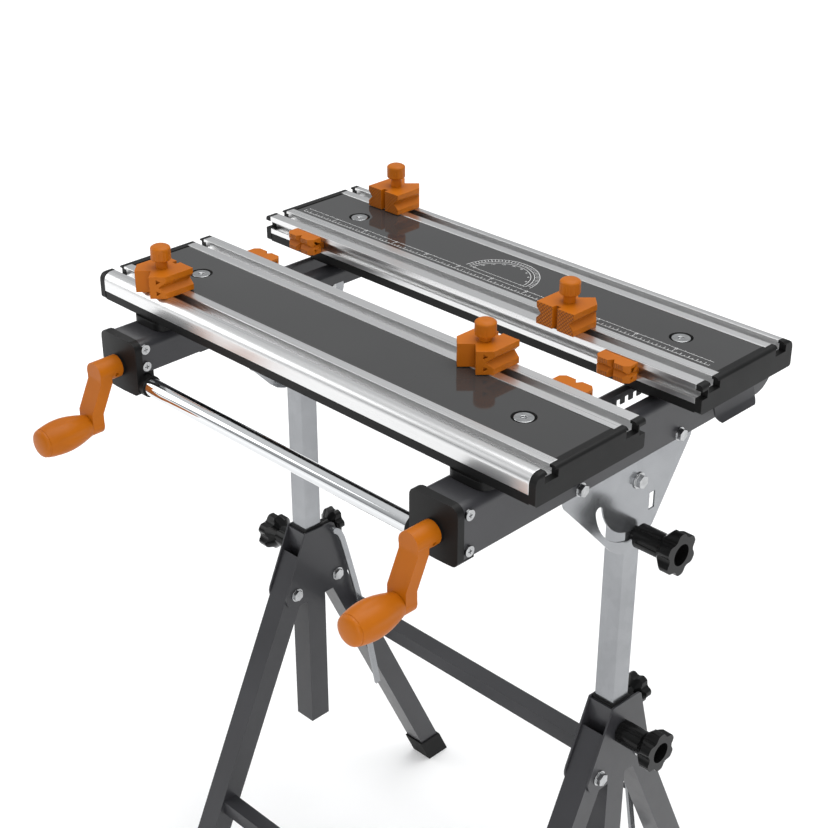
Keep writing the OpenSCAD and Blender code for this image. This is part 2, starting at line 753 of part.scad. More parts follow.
tooth_h = 8;
module rack() {
    y0 = front_edge + rear_slot[0];
    y1 = front_edge + rear_slot[1];
    x1 = beam_x - beam_slot_w / 2;
    difference() {
        box([x1 - sheet_t, y0, beam_top - rack_h], [x1, y1, beam_top - sheet_t / 2]);
        for (y = [y0 + rack_pitch / 2 : rack_pitch : y1 - rack_pitch / 2])
            box([x1 - 2 * sheet_t, y, beam_top - rack_h - eps],
                [x1 + sheet_t, y + rack_pitch / 2, beam_top - rack_h + tooth_h]);
    }
}
module beam_left() { beam(-1); }
module beam_right() { beam(1); }

// Screws through the beams' walls into the caps: [side of the beam, distance from its front, depth]
screw_y = 6.2;
screw_places = [[1, screw_y, 9], [1, screw_y, beam_h - 8], [-1, screw_y, 9], [-1, screw_y, beam_inner_h - 8]];
cap_screw_len = 12;
module cap_screw_holes() {
    for (s = screw_places)
        rod_x(beam_x + s[0] * (beam_w / 2 + eps), beam_x + s[0] * (beam_w / 2 - cap_screw_len - eps),
            beam_start + s[1], beam_top - s[2], small_screw_d + 2 * fit);
}

module cap_screws() {
    color(zinc) both_sides() for (s = screw_places) difference() {
        union() {
            rod_x(beam_x + s[0] * (beam_w / 2 + 1), beam_x + s[0] * (beam_w / 2 - cap_screw_len),
                beam_start + s[1], beam_top - s[2], small_screw_d);
            rod_x(beam_x + s[0] * beam_w / 2, beam_x + s[0] * (beam_w / 2 + pan_h),
                beam_start + s[1], beam_top - s[2], pan_d);
        }
        translate([beam_x + s[0] * (beam_w / 2 + pan_h), beam_start + s[1], beam_top - s[2]])
            for (a = [0, 90]) rotate([a, 0, 0]) cube([3, 5, 1.2], center = true);
    }
}

// Beam caps: a swelling face, a plug inside the beam, and a socket for the tie tube below the inner wall
collar_d = 2 * (tie_down - beam_inner_h - 0.2);
collar_len = 11;
plug_len = 24;
block_len = 16;
tie_y = beam_start + 4;
module cap_face() {
    w = beam_w + 1 + cap_over;
    mid = beam_x + (1 - cap_over) / 2;
    r = 6;
    swell_r = (pow(w / 2, 2) + pow(cap_swell, 2)) / (2 * cap_swell);
    intersection() {
        translate([mid, beam_start, beam_top]) rotate([90, 0, 0]) linear_extrude(cap_face_t)
            polygon(around([
                [-w / 2 + r, -cap_face_h + r, r],
                [w / 2 - r, -cap_face_h + r, r],
                [w / 2 - beam_r, cap_up - beam_r, beam_r],
                [-w / 2 + beam_r, cap_up - beam_r, beam_r]
            ]));
        translate([mid, beam_start - cap_face_t + swell_r, beam_top - 2 * beam_h])
            cylinder(r = swell_r, h = 3 * beam_h, $fn = 96);
    }
}

module beam_cap(side) {
    inside = beam_w - 2 * sheet_t - 2 * fit;
    block_top = beam_top - beam_inner_h - 0.2;
    color(black) on_side(side) difference() {
        union() {
            cap_face();
            rod_y(beam_x, beam_start - cap_face_t - boss_t, beam_start - 1, screw_z, hub_d - 1);
            translate([beam_x, beam_start + plug_len, beam_top - sheet_t - fit]) rotate([90, 0, 0])
                linear_extrude(plug_len + 1)
                    round_top(inside, beam_inner_h - sheet_t - 0.4, beam_r - sheet_t);
            box([beam_in, beam_start - 1, beam_top - cap_face_h + 1],
                [beam_x + inside / 2, beam_start + block_len, block_top]);
            box([beam_x - inside / 2, beam_start - 1, block_top - 1],
                [beam_x + inside / 2, beam_start + block_len, block_top + 4]);
            rod_x(beam_in - collar_len, beam_x, tie_y, tie_z, collar_d);
        }
        rod_y(beam_x, beam_start - 3 * cap_face_t, beam_start + plug_len + eps, screw_z, screw_d + 2 * fit);
        rod_x(beam_in - collar_len - eps, beam_x, tie_y, tie_z, tie_d + 2 * fit);
        cap_screw_holes();
    }
}
module beam_cap_left() { beam_cap(-1); }
module beam_cap_right() { beam_cap(1); }

tie_in = 18;
module tie_tube() {
    half = beam_in + tie_in;
    color(alloy) difference() {
        rod_x(-half, half, tie_y, tie_z, tie_d);
        rod_x(-half - eps, half + eps, tie_y, tie_z, tie_d - 3);
    }
}

// Jaws, drawn as the front one: Y runs from the outer edge to the clamping edge, Z down from the top
module place_jaw(rear) {
    if (rear) translate([0, rear_edge, bench_h]) mirror([0, 1, 0]) children();
    else translate([0, front_edge, bench_h]) children();
}
rail_len = jaw_len - 2 * cap_t;
module along_jaw(len) {
    translate([-len / 2, 0, 0]) rotate([90, 0, 90]) linear_extrude(len) children();
}

// A slot from above, centred on y = 0
module slot_shape() {
    translate([-slot_w / 2, -slot_lip - eps]) square([slot_w, slot_lip + 2 * eps]);
    translate([-slot_room / 2, -slot_depth]) square([slot_room, slot_depth - slot_lip]);
}

module outer_rail(rear) {
    color(alloy) place_jaw(rear) along_jaw(rail_len) difference() {
        union() {
            translate([0, -rail_h]) square([outer_rail_w, rail_h - nose_r]);
            translate([nose_r, -rail_h]) square([outer_rail_w - nose_r, rail_h]);
            translate([nose_r, -nose_r]) circle(nose_r, $fn = 96);
        }
        translate([outer_slot_at, 0]) slot_shape();
        translate([rail_wall, -rail_h + rail_wall])
            square([outer_rail_w - 2 * rail_wall, rail_h - slot_depth - 2 * rail_wall]);
    }
}

side_room_d = side_slot_depth - slot_lip;
module inner_rail(rear) {
    inner_side = inner_rail_w - inner_slot_at;
    color(alloy) place_jaw(rear) along_jaw(rail_len) translate([jaw_w - inner_rail_w, 0]) difference() {
        translate([0, -rail_h]) square([inner_rail_w, rail_h]);
        translate([inner_side, 0]) slot_shape();
        translate([inner_rail_w - slot_lip - eps, -side_slot_down - side_slot_w / 2])
            square([slot_lip + 2 * eps, side_slot_w]);
        translate([inner_rail_w - side_slot_depth, -side_slot_down - side_slot_room / 2])
            square([side_room_d, side_slot_room]);
        translate([rail_wall, -rail_h + rail_wall])
            square([inner_side - slot_room / 2 - 2 * rail_wall, rail_h - 2 * rail_wall]);
    }
}

panel_len = jaw_len - 2 * rim_w;
panel_y0 = outer_rail_w;
module panel(rear) {
    color([0.33, 0.33, 0.34]) place_jaw(rear) difference() {
        translate([-panel_len / 2, panel_y0, -panel_drop - panel_t]) cube([panel_len, panel_w, panel_t]);
        for (s = [-1, 1]) rod_z(s * beam_x, bolt_at, -panel_drop - panel_t - eps, eps, disc_recess_d);
    }
}

base_skin = 3;
pocket_step = 80;
pocket_w = 32;
module base(rear) {
    under = -rail_h - base_h;
    color(black) place_jaw(rear) difference() {
        union() {
            translate([-rail_len / 2, 0.5, under]) cube([rail_len, jaw_w - 1, base_h]);
            translate([-panel_len / 2, panel_y0, -rail_h - 1])
                cube([panel_len, panel_w, rail_h + 1 - panel_drop - panel_t]);
        }
        for (i = [-2 : 2],
            y = [base_skin + 1, panel_y0 + base_skin, jaw_w / 2, jaw_w - base_skin - 1 - pocket_w])
            translate([i * pocket_step - pocket_step / 2 + base_skin, y, under - eps])
                cube([pocket_step - 2 * base_skin, pocket_w, base_h - base_skin + eps]);
        for (s = [-1, 1]) {
            rod_z(s * beam_x, bolt_at, under - eps, eps, panel_bolt_d + 2 * fit);
            rod_z(s * beam_x, bolt_at, -panel_drop - panel_t - 1, eps, disc_recess_d);
        }
    }
}

// End caps: a plate over the rails' ends, notched at the slots, and a rim beside the panel
module end_caps(rear) {
    under = -rail_h - base_h;
    rim = 3;
    color(black) place_jaw(rear) for (s = [0, 1]) mirror([s, 0, 0]) translate([jaw_len / 2 - cap_t, 0, 0])
        intersection() {
            union() {
                plate_yz(0, cap_t) difference() {
                    polygon(around([
                        [rim, under + rim, rim],
                        [jaw_w - rim, under + rim, rim],
                        [jaw_w - 1, -1, 1],
                        [nose_r, -nose_r, nose_r]
                    ]));
                    translate([outer_slot_at, 0]) slot_shape();
                    translate([jaw_w - inner_slot_at, 0]) slot_shape();
                    translate([jaw_w - side_slot_depth, -side_slot_down - side_slot_w / 2])
                        square([side_slot_depth + eps, side_slot_w]);
                }
                translate([cap_t - rim_w, panel_y0 + gap, -panel_drop - panel_t])
                    cube([rim_w, panel_w - 2 * gap, panel_drop + panel_t]);
            }
            translate([0, jaw_w + eps, 0]) rotate([90, 0, 0]) linear_extrude(jaw_w + 2 * eps) polygon(concat(
                [[cap_t - rim_w, under], [cap_t, under]],
                [for (a = [0 : 15 : 90]) [cap_t - cap_round * (1 - cos(a)), -cap_round * (1 - sin(a))]],
                [[cap_t - rim_w, 0]]
            ));
        }
}

head_t = 2.2;
module panel_bolts(rear) {
    color(zinc) place_jaw(rear) for (s = [-1, 1]) {
        rod_z(s * beam_x, bolt_at, -rail_h - base_h - glide_t - 6, -panel_drop - head_t, panel_bolt_d);
        difference() {
            rod_z(s * beam_x, bolt_at, -panel_drop - panel_t - 1, -panel_drop - 0.4, disc_d);
            translate([s * beam_x, bolt_at, -panel_drop - 2.4]) cylinder(d = 6 / cos(30), h = 3, $fn = 6);
        }
    }
}

// Glides: a pad on the beam with rounded corners and a foot that runs in the beam's slot
pad_w = beam_w - 6;
stem_w = beam_slot_w - 1;
front_pad = [-2, jaw_w - 8];
rear_pad = [12, jaw_w - 12];
nut_half = 17;
ear_at = [14, 51];
ear_w = 8;
lever_x = beam_x + beam_w / 2 + lever_out;
lever_pin_down = rail_h + base_h + glide_t / 2;
lever_pin_d = 4;
module pad_shape(from, to) {
    r = 12;
    polygon(around([
        [-pad_w / 2 + r, from + r, r], [pad_w / 2 - r, from + r, r],
        [pad_w / 2 - r, to - r, r], [-pad_w / 2 + r, to - r, r]
    ]));
}

module front_glides() {
    under = -rail_h - base_h - glide_t;
    color(black) place_jaw(false) for (s = [-1, 1]) translate([s * beam_x, 0, 0]) difference() {
        union() {
            translate([0, 0, under]) linear_extrude(glide_t) pad_shape(front_pad[0], front_pad[1]);
            translate([-stem_w / 2, bolt_at - nut_half, under - screw_down - nut_half])
                cube([stem_w, 2 * nut_half, screw_down + nut_half + 1]);
        }
        rod_z(0, bolt_at, under - 6 - 0.2, eps, panel_bolt_d + 2 * fit);
        rod_y(0, bolt_at - nut_half - eps, bolt_at + nut_half + eps, under - screw_down, screw_d + 2 * fit);
    }
}

module rear_glides() {
    under = -rail_h - base_h - glide_t;
    color(black) place_jaw(true) for (s = [-1, 1]) translate([s * beam_x, 0, 0]) difference() {
        union() {
            translate([0, 0, under]) linear_extrude(glide_t) pad_shape(rear_pad[0], rear_pad[1]);
            translate([-stem_w / 2 + 1, bolt_at - 25, under - 12]) cube([stem_w - 2, 50, 13]);
            mirror([s < 0 ? 1 : 0, 0, 0]) for (y = ear_at)
                box([pad_w / 4, y, under], [lever_x - beam_x + ear_w / 2, y + ear_w, under + glide_t]);
            rod_y(s * (lever_x - beam_x), ear_at[0] + 1, ear_at[1] + ear_w - 1, -lever_pin_down, lever_pin_d);
        }
        rod_z(0, bolt_at, under - 6 - 0.2, eps, panel_bolt_d + 2 * fit);
    }
}

module front_outer_rail() { outer_rail(false); }
module rear_outer_rail() { outer_rail(true); }
module front_inner_rail() { inner_rail(false); }
module rear_inner_rail() { inner_rail(true); }
module front_panel() { panel(false); }
module rear_panel() { panel(true); }
module front_base() { base(false); }
module rear_base() { base(true); }
module front_end_caps() { end_caps(false); }
module rear_end_caps() { end_caps(true); }
module front_panel_bolts() { panel_bolts(false); }
module rear_panel_bolts() { panel_bolts(true); }

// Release levers: curved tongues that hang on pins under the rear jaw, outside the beams
lever_at = -12;
lever_barrel_d = 8;
lever_corner = 14;
lever_path = [[0, 0], [-0.1 * lever_curl, -0.35 * lever_drop], [0, -0.65 * lever_drop],
    [0.45 * lever_curl, -0.88 * lever_drop], [lever_curl, -lever_drop]];
module release_lever(side) {
    low = -lever_drop - lever_t;
    high = -glide_t / 2 - 0.7;
    inner = [ear_at[0] + ear_w + gap, ear_at[1] - gap];
    color(charcoal) on_side(side) place_jaw(true) translate([lever_x, 0, -lever_pin_down]) difference() {
        union() {
            intersection() {
                translate([0, lever_at + lever_len, 0]) rotate([90, 0, 0]) linear_extrude(lever_len)
                    polygon(band(lever_path, lever_t));
                plate_yz(-2 * lever_curl, 4 * lever_curl) {
                    polygon(around([
                        [lever_at + lever_corner, low + lever_corner, lever_corner],
                        [lever_at + lever_len - lever_corner, low + lever_corner, lever_corner],
                        [lever_at + lever_len - 4, high - 4, 4],
                        [lever_at + 4, high - 4, 4]
                    ]));
                    translate([inner[0], high - 1]) square([inner[1] - inner[0], 2 - high]);
                }
            }
            rod_y(0, inner[0], inner[1], 0, lever_barrel_d);
        }
        rod_y(0, lever_at, lever_len, 0, lever_pin_d + 2 * fit);
    }
}
module release_lever_left() { release_lever(-1); }
module release_lever_right() { release_lever(1); }

// Lead screws with a collar behind each cap, and the cranks on their ends
collar_gap = 0.2;
hub_end = 6;
set_screw_d = 4.2;
hub_start = beam_start - cap_face_t - boss_t - hub_gap;
module lead_screw(side) {
    collar_at = beam_start + plug_len + collar_gap;
    color(zinc) on_side(side) {
        rod_y(beam_x, hub_start - hub_len + hub_end, beam_start + screw_len, screw_z, screw_d);
        rod_y(beam_x, collar_at, collar_at + 5, screw_z, screw_d + 8);
    }
}
module lead_screw_left() { lead_screw(-1); }
module lead_screw_right() { lead_screw(1); }

arm_front = hub_start - hub_len + arm_back;
arm_bends = [0.18 * crank_r, 0.74 * crank_r];
module crank(side) {
    color(orange) on_side(side) difference() {
        union() {
            rod_y(beam_x, hub_start, hub_start - hub_len, screw_z, hub_d);
            translate([beam_x - arm_w / 2, 0, 0]) plate_yz(0, arm_w) polygon(band([
                [arm_front, screw_z], [arm_front, screw_z - arm_bends[0]],
                [arm_front - arm_out, screw_z - arm_bends[1]], [arm_front - arm_out, screw_z - crank_r]
            ], arm_t));
            for (end = [[arm_front, 0], [arm_front - arm_out, crank_r]])
                rod_y(beam_x, end[0] - arm_t / 2, end[0] + arm_t / 2, screw_z - end[1], arm_w + 0.6);
            rod_y(beam_x, arm_front - arm_out, grip_start - grip_len + 14, screw_z - crank_r, grip_pin_d);
        }
        rod_y(beam_x, hub_start + eps, hub_start - hub_len + hub_end, screw_z, screw_d + 2 * fit);
        translate([beam_x, hub_start - 8, screw_z])
            rotate([0, side * 110, 0]) cylinder(d = set_screw_d, h = hub_d);
    }
}
module crank_left() { crank(-1); }
module crank_right() { crank(1); }

// Grips: turned barrels, narrow at the arm and domed at the end
grip_start = arm_front - arm_out - arm_t / 2 - gap;
grip_ring = 0.9;
function grip_radius(t) = t <= grip_ring
    ? grip_d * (0.33 + 0.17 * sin(t / grip_ring * 150))
    : grip_d * 0.415 * sqrt(1 - 0.75 * pow((t - grip_ring) / (1.01 - grip_ring), 2));
grip_steps = [for (k = [0 : 19]) k < 16 ? k * grip_ring / 15 : grip_ring + (k - 15) * (1 - grip_ring) / 4];
module grip(side) {
    color(orange) on_side(side) difference() {
        translate([beam_x, grip_start, screw_z - crank_r]) rotate([90, 0, 0]) rotate_extrude() polygon(concat(
            [[0, 0]],
            [for (t = grip_steps) [grip_radius(t), grip_len * t]],
            [[0, grip_len]]
        ));
        rod_y(beam_x, grip_start + eps, grip_start - grip_len + 13, screw_z - crank_r, grip_pin_d + 2 * fit);
    }
}
module grip_left() { grip(-1); }
module grip_right() { grip(1); }

// Bench dogs, drawn at the origin with the prongs towards -Y and the gripping face towards +Y
nut_t = 5;
prong_w = dog_w / 4;
module dog_outline() {
    polygon([
        [-dog_w / 2, dog_grip], [-dog_w / 2, -dog_prong + prong_w], [-dog_w / 4, -dog_prong],
        [0, -dog_prong + prong_w], [dog_w / 4, -dog_prong], [dog_w / 2, -dog_prong + prong_w],
        [dog_w / 2, dog_grip], [3, dog_grip], [3, dog_grip - 6], [-3, dog_grip - 6], [-3, dog_grip]
    ]);
}
module groove(len, depth) {
    rotate([90, 0, 90]) linear_extrude(len, center = true)
        polygon([[eps, -depth - eps * 1.3], [-depth, 0], [eps, depth + eps * 1.3]]);
}
module dog_block() {
    difference() {
        linear_extrude(dog_h) dog_outline();
        for (s = [-1, 1]) rotate([0, 0, s * 90])
            translate([0, dog_w / 2, dog_h / 2]) groove(3 * dog_w, dog_groove);
        translate([0, 0, -eps]) cylinder(d = stud_d + 2 * fit, h = dog_h + 2 * eps);
        for (s = [-1, 1], z = [dog_h * 0.24, dog_h * 0.76])
            translate([s * dog_w * 0.375, -dog_prong + prong_w / 2, z]) rotate([0, 0, s * 45])
                rotate([90, 0, 0]) cylinder(d = 6, h = 8, center = true, $fn = 3);
    }
}
module dog_nut() {
    side = slot_room - 1;
    translate([0, 0, -slot_lip - gap - nut_t]) difference() {
        translate([-side / 2, -side / 2, 0]) cube([side, side, nut_t]);
        translate([0, 0, -eps]) cylinder(d = stud_d + 2 * fit, h = nut_t + 2 * eps);
    }
}

// Ribbed knob with a round crown, on a stud that reaches the nut
dog_neck_d = 13;
module dog_knob(neck) {
    ribs = 12;
    crown = 3;
    translate([0, 0, -slot_lip - nut_t - 1.5]) cylinder(d = stud_d, h = dog_h + slot_lip + nut_t + 3);
    translate([0, 0, dog_h + gap]) cylinder(d = dog_neck_d, h = neck);
    translate([0, 0, dog_h + gap + neck]) {
        cylinder(d = dog_knob_d - 1.5, h = dog_knob_h - crown);
        for (k = [0 : ribs - 1]) rotate([0, 0, k * 360 / ribs])
            translate([dog_knob_d / 2 - 1.6, 0, 0]) cylinder(d = 3.2, h = dog_knob_h - crown - 1);
        translate([0, 0, dog_knob_h - crown])
            cylinder(d1 = dog_knob_d - 1.5, d2 = dog_knob_d - 8, h = crown);
    }
}

module place_dog(rear, outer, x) {
    y = outer ? outer_slot_at : jaw_w - inner_slot_at;
    translate([x, rear ? rear_edge - y : front_edge + y, bench_h]) rotate([0, 0, rear ? 180 : 0]) children();
}
module dog(rear, outer, x) {
    color(orange) place_dog(rear, outer, x) {
        dog_block();
        dog_nut();
    }
}
knob_up = [9, 5, 11, 9];
module dog_front_left() { dog(false, true, dog_left_x); }
module dog_front_right() { dog(false, false, dog_right_x); }
module dog_rear_left() { dog(true, true, dog_left_x); }
module dog_rear_right() { dog(true, false, dog_right_x); }
module dog_knob_front_left() { color(orange) place_dog(false, true, dog_left_x) dog_knob(knob_up[0]); }
module dog_knob_front_right() { color(orange) place_dog(false, false, dog_right_x) dog_knob(knob_up[1]); }
module dog_knob_rear_left() { color(orange) place_dog(true, true, dog_left_x) dog_knob(knob_up[2]); }
module dog_knob_rear_right() { color(orange) place_dog(true, false, dog_right_x) dog_knob(knob_up[3]); }

// Side dogs: small ones that hang in the side slots, drawn with the jaw's face at y = 0
module side_dog_body() {
    h = side_dog_h;
    w = side_dog_w;
    mid = side_dog_out / 2;
    foot_t = side_room_d - 1;
    difference() {
        linear_extrude(h) polygon([
            [-w / 2, gap], [-w / 2, side_dog_out - 5], [-w / 2 + 5, side_dog_out], [-4, side_dog_out],
            [0, side_dog_out - 6], [4, side_dog_out], [w / 2 - 5, side_dog_out],
            [w / 2, side_dog_out - 5], [w / 2, gap]
        ]);
        translate([0, side_dog_out, h / 2]) groove(2 * w, dog_groove - 2);
        for (s = [-1, 1]) rotate([0, 0, s * 90]) translate([0, w / 2, h / 2]) groove(2 * w, 2);
        for (s = [-1, 1], z = [h * 0.24, h * 0.76]) translate([s * (w / 2 - 1), mid, z])
            rotate([0, 90, 0]) cylinder(d = 5, h = 8, center = true, $fn = 3);
    }
    box([-w / 2 + 4, -slot_lip - foot_t, h / 2 - side_slot_w / 2 + gap],
        [w / 2 - 4, gap + 1, h / 2 + side_slot_w / 2 - gap]);
    box([-w / 2 + 4, -slot_lip - foot_t, h / 2 - side_slot_room / 2 + 0.7],
        [w / 2 - 4, -slot_lip - gap, h / 2 + side_slot_room / 2 - 0.7]);
}
module side_dog(rear, x) {
    face = rear ? rear_edge - jaw_w : front_edge + jaw_w;
    color(orange) translate([x, face, bench_h - side_slot_down - side_dog_h / 2])
        rotate([0, 0, rear ? 180 : 0]) side_dog_body();
}
module side_dog_front_left() { side_dog(false, side_front_x[0]); }
module side_dog_front_right() { side_dog(false, side_front_x[1]); }
module side_dog_rear_left() { side_dog(true, side_rear_x[0]); }
module side_dog_rear_right() { side_dog(true, side_rear_x[1]); }

sleeves();
brackets();
sleeve_guides();
leg_pivot_bolts();
front_leg_frame();
front_feet();
rear_leg_frame();
rear_feet();
leg_stays();
uprights();
pivot_bolts();
height_knob_left();
height_knob_right();
clamp_knob_left();
clamp_knob_right();
tilt_knob_left();
tilt_knob_right();
tilt_plates();
plate_bolts();
beam_left();
beam_right();
beam_cap_left();
beam_cap_right();
cap_screws();
tie_tube();
front_outer_rail();
front_inner_rail();
front_panel();
front_base();
front_end_caps();
front_panel_bolts();
front_glides();
rear_outer_rail();
rear_inner_rail();
rear_panel();
rear_base();
rear_end_caps();
rear_panel_bolts();
rear_glides();
release_lever_left();
release_lever_right();
lead_screw_left();
lead_screw_right();
crank_left();
crank_right();
grip_left();
grip_right();
dog_front_left();
dog_front_right();
dog_rear_left();
dog_rear_right();
dog_knob_front_left();
dog_knob_front_right();
dog_knob_rear_left();
dog_knob_rear_right();
side_dog_front_left();
side_dog_front_right();
side_dog_rear_left();
side_dog_rear_right();
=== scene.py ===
# %% [markdown]
# # A folding workbench
# This notebook dresses the exact model of a folding workbench. The exact model already has every
# plate, tube and bolt in its right place, so nothing is placed by eye: each piece made here starts
# from a piece of it. What is added is what a camera sees and a draughtsman leaves out: rounded
# edges, moulded grips, knurls, printed scales and the finish of each surface.

# %% The frame
import json
import math

import bmesh
import bpy
from mathutils import Matrix, Vector


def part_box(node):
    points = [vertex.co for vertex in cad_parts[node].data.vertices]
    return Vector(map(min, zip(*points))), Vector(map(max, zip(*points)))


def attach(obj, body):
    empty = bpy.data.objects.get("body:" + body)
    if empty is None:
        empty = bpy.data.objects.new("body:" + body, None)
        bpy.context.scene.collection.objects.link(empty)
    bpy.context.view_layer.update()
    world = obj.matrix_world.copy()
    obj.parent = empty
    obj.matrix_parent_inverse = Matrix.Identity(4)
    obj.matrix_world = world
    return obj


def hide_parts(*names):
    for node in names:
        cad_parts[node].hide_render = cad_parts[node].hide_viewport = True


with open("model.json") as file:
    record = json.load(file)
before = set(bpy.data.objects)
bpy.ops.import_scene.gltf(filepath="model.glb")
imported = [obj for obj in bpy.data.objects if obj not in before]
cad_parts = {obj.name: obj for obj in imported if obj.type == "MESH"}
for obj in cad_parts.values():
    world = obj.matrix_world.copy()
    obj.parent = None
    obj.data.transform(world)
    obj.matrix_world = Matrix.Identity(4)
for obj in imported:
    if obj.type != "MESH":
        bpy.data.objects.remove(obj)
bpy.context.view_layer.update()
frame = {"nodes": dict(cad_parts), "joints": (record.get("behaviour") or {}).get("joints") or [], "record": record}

nodes = frame["nodes"]
joints = {j["name"]: j for j in frame["joints"]}
body_of = {n: b for b, names in frame["record"]["behaviour"]["bodies"].items() for n in names}
MM = 0.001

# %% [markdown]
# ## The view
# The photograph was taken from the front right of the bench, looking down on it. The lens and the
# camera's place were worked out from the jaws' edges, which are long, straight and parallel. A camera
# can be aimed with an empty and a constraint, but a fixed rotation says the same and can't drift.

# %% Camera
VIEW_AZIMUTH = 44.89
VIEW_ELEVATION = 28.15
EYE_FROM_JAW_CORNER = Vector((1.418, -0.930, 0.709))
SENSOR_MM = 36
PICTURE_PIXELS = 828
LENS_PIXELS = 1625
jaw_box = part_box("front_end_caps")
corner = Vector((jaw_box[0].x, jaw_box[0].y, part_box("front_outer_rail")[1].z))
camera = bpy.data.objects.new("view", bpy.data.cameras.new("view"))
camera.data.sensor_width = SENSOR_MM
camera.data.lens = SENSOR_MM * LENS_PIXELS / PICTURE_PIXELS
camera.data.clip_start, camera.data.clip_end = 0.05, 60
camera.location = corner + EYE_FROM_JAW_CORNER
azimuth, elevation = math.radians(VIEW_AZIMUTH), math.radians(VIEW_ELEVATION)
towards = Vector((
    -math.sin(azimuth) * math.cos(elevation),
    math.cos(azimuth) * math.cos(elevation),
    -math.sin(elevation)))
camera.rotation_mode = "QUATERNION"
camera.rotation_quaternion = towards.to_track_quat("-Z", "Y")
bpy.context.scene.collection.objects.link(camera)
bpy.context.scene.camera = camera
print("camera at", [round(v, 3) for v in camera.location], "lens", round(camera.data.lens, 2))

# %% [markdown]
# ## Shader maths in plain Python
# Every finish below is a handful of numbers worked out at each point of a surface. Joining maths
# nodes by hand hides what is computed, so one small class wraps a socket and lets Python's own
# operators add the nodes: `1 - mask * 0.3` reads like the sum it is.

# %% Sockets that can be added and multiplied
class Wire:
    """An output of a node, which Python's operators join to more nodes."""

    def __init__(self, maker, socket):
        self.maker, self.socket = maker, socket

    def maths(self, operation, *values):
        return self.maker.node("ShaderNodeMath", {"operation": operation}, dict(enumerate(values)))

    def __add__(self, other):
        return self.maths("ADD", self, other)

    def __sub__(self, other):
        return self.maths("SUBTRACT", self, other)

    def __mul__(self, other):
        return self.maths("MULTIPLY", self, other)

    def __truediv__(self, other):
        return self.maths("DIVIDE", self, other)

    def __rsub__(self, other):
        return self.maths("SUBTRACT", other, self)

    def __rtruediv__(self, other):
        return self.maths("DIVIDE", other, self)

    def __gt__(self, other):
        return self.maths("GREATER_THAN", self, other)

    def __lt__(self, other):
        return self.maths("LESS_THAN", self, other)

    __radd__ = __add__
    __rmul__ = __mul__


class Nodes:
    """A tree of nodes, which any node is added to in one way."""

    def __init__(self, tree):
        self.tree = tree

    def node(self, kind, settings=None, sockets=None, out=0):
        made = self.tree.nodes.new(kind)
        for name, value in (settings or {}).items():
            if name == "stops":
                while len(made.color_ramp.elements) < len(value):
                    made.color_ramp.elements.new(1)
                for stop, (at, shade) in zip(made.color_ramp.elements, value):
                    stop.position, stop.color = at, shade if len(shade) == 4 else (*shade, 1)
            else:
                setattr(made, name, value)
        for key, value in (sockets or {}).items():
            if isinstance(value, Wire):
                self.tree.links.new(value.socket, made.inputs[key])
            else:
                made.inputs[key].default_value = value
        return Wire(self, made.outputs[out])

    def place(self, scale=(1, 1, 1)):
        """Where the point lies on the piece, in metres, stretched by scale."""
        here = self.node("ShaderNodeTexCoord", out="Object")
        if scale == (1, 1, 1):
            return here
        return self.node("ShaderNodeVectorMath", {"operation": "MULTIPLY"}, {0: here, 1: scale})

    def noise(self, scale, stretch=(1, 1, 1), detail=2.0):
        return self.node("ShaderNodeTexNoise", None, {
            "Vector": self.place(stretch), "Scale": scale, "Detail": detail}, "Fac")

    def shades(self, factor, stops):
        return self.node("ShaderNodeValToRGB", {"stops": stops}, {"Fac": factor}, "Color")

    def mix(self, factor, first, second):
        """Two colours mixed. The sockets of the node's colour form are its seventh and eighth."""
        made = self.node("ShaderNodeMix", {"data_type": "RGBA"}, {"Factor": factor}, 2)
        for at, value in ((6, first), (7, second)):
            if isinstance(value, Wire):
                self.tree.links.new(value.socket, made.socket.node.inputs[at])
            else:
                made.socket.node.inputs[at].default_value = (*value, 1)
        return made


class Finish(Nodes):
    """A material, its shader and the nodes that feed it."""

    def __init__(self, name, **shader):
        self.material = bpy.data.materials.new(name)
        self.material.use_nodes = True
        super().__init__(self.material.node_tree)
        self.shader = self.tree.nodes["Principled BSDF"]
        for socket, value in shader.items():
            self.set(socket.replace("_", " "), value)

    def set(self, socket, value):
        target = self.shader.inputs[socket]
        if isinstance(value, Wire):
            self.tree.links.new(value.socket, target)
        else:
            target.default_value = (*value, 1) if isinstance(value, tuple) else value

    def bump(self, height, strength, distance):
        self.set("Normal", self.node("ShaderNodeBump", None, {
            "Height": height, "Strength": strength, "Distance": distance}))


def grey(level):
    return (level, level, level)


print("the shader tools are ready")

# %% [markdown]
# ## Finishes
# Finishes are told apart less by their colour than by how sharp their reflections are and by what
# breaks them up: orange peel in the paint, drawn lines along the aluminium, crystals in the zinc, the
# fine grain that a spark-eroded mould leaves on plastic. Pictures of such surfaces could be wrapped
# round the pieces, but noise in the shader needs no unwrapping and holds up close by.

# %% [markdown]
# The beams, the brackets and the legs are steel with a baked powder coat in dark grey. The powder
# melts into a skin that is never quite flat, so a fine low bump carries its orange peel, and a thin
# clear coat gives the second, sharper reflection that paint has and bare plastic hasn't.

# %% Painted steel
def painted_steel():
    finish = Finish("graphite_paint", Coat_Weight=0.12, Coat_Roughness=0.10, Specular_IOR_Level=0.34)
    cloud = finish.noise(9, detail=3)
    finish.set("Base Color", finish.shades(cloud, [
        (0.3, (0.028, 0.028, 0.031)), (0.7, (0.036, 0.036, 0.040))]))
    finish.set("Roughness", 0.30 + finish.noise(60) * 0.10)
    peel = finish.noise(620, detail=1)
    finish.bump(peel, 0.12, 0.0004)
    return finish.material


paint = painted_steel()
print(paint.name)

